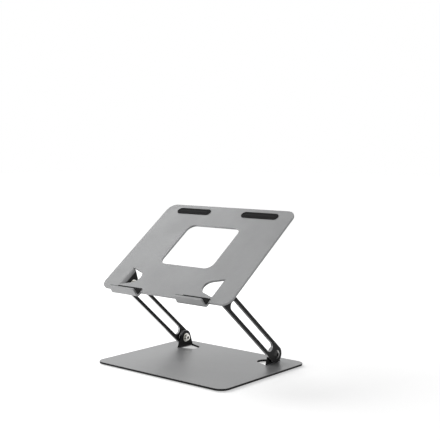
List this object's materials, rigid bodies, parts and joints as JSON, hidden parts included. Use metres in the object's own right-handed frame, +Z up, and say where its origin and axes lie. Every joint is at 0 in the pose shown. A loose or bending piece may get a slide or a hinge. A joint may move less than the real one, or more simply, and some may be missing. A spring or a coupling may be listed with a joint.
{
  "type": "laptop stand",
  "caption": "Folding metal laptop stand with a flat rounded base plate, slotted link arms on friction pivots and a tilting tray with raised front lips.",
  "frame": {"origin": "on the table under the middle of the base plate", "axes": "+Z up, +Y to the back, +X to the right of someone facing the tray from its lips; the lips face -Y"},
  "size_m": [0.236, 0.1894, 0.2203],
  "materials": {
    "base_paint": "fine satin powder coat, mid grey",
    "tray_paint": "fine satin powder coat, mid grey",
    "arm_paint": "satin near-black coat on the faces, machined bright edges",
    "bolt_steel": "black plated socket bolt, rim worn bright",
    "nut_zinc": "bright zinc",
    "washer_steel": "bright turned steel friction washer",
    "foot_rubber": "matt black rubber",
    "pad_silicone": "matt black silicone"
  },
  "bodies": {
    "base": {"base_plate": "base_paint", "foot_front_left": "foot_rubber", "foot_front_right": "foot_rubber", "foot_rear_left": "foot_rubber", "foot_rear_right": "foot_rubber", "lower_bolt_left": "bolt_steel", "lower_bolt_right": "bolt_steel", "lower_nut_left": "nut_zinc", "lower_nut_right": "nut_zinc", "lower_nut_washer_left": "nut_zinc", "lower_nut_washer_right": "nut_zinc", "lower_pivot_washer_left": "washer_steel", "lower_pivot_washer_right": "washer_steel"},
    "left_arm": {"arm_left": "arm_paint"},
    "right_arm": {"arm_right": "arm_paint"},
    "tray": {"tray_plate": "tray_paint", "lip_pad_left": "pad_silicone", "lip_pad_right": "pad_silicone", "rear_strip_left": "pad_silicone", "rear_strip_right": "pad_silicone", "upper_bolt_left": "bolt_steel", "upper_bolt_right": "bolt_steel", "upper_nut_left": "nut_zinc", "upper_nut_right": "nut_zinc", "upper_nut_washer_left": "nut_zinc", "upper_nut_washer_right": "nut_zinc", "upper_pivot_washer_left": "washer_steel", "upper_pivot_washer_right": "washer_steel"}
  },
  "joints": [
    {"name": "left_arm_swing", "type": "hinge", "parent": "base", "child": "left_arm", "pos_m": [0, 0.06, 0.0177], "axis": [1, 0, 0], "range_deg": [-30, 35]},
    {"name": "right_arm_swing", "type": "hinge", "parent": "base", "child": "right_arm", "pos_m": [0, 0.06, 0.0177], "axis": [1, 0, 0], "range_deg": [-30, 35]},
    {"name": "tray_tilt", "type": "hinge", "parent": "left_arm", "child": "tray", "pos_m": [0, -0.05145, 0.11356], "axis": [1, 0, 0], "range_deg": [-71, 5]}
  ],
  "couplings": [
    {"joint": "right_arm_swing", "follows": "left_arm_swing", "ratio": 1}
  ]
}
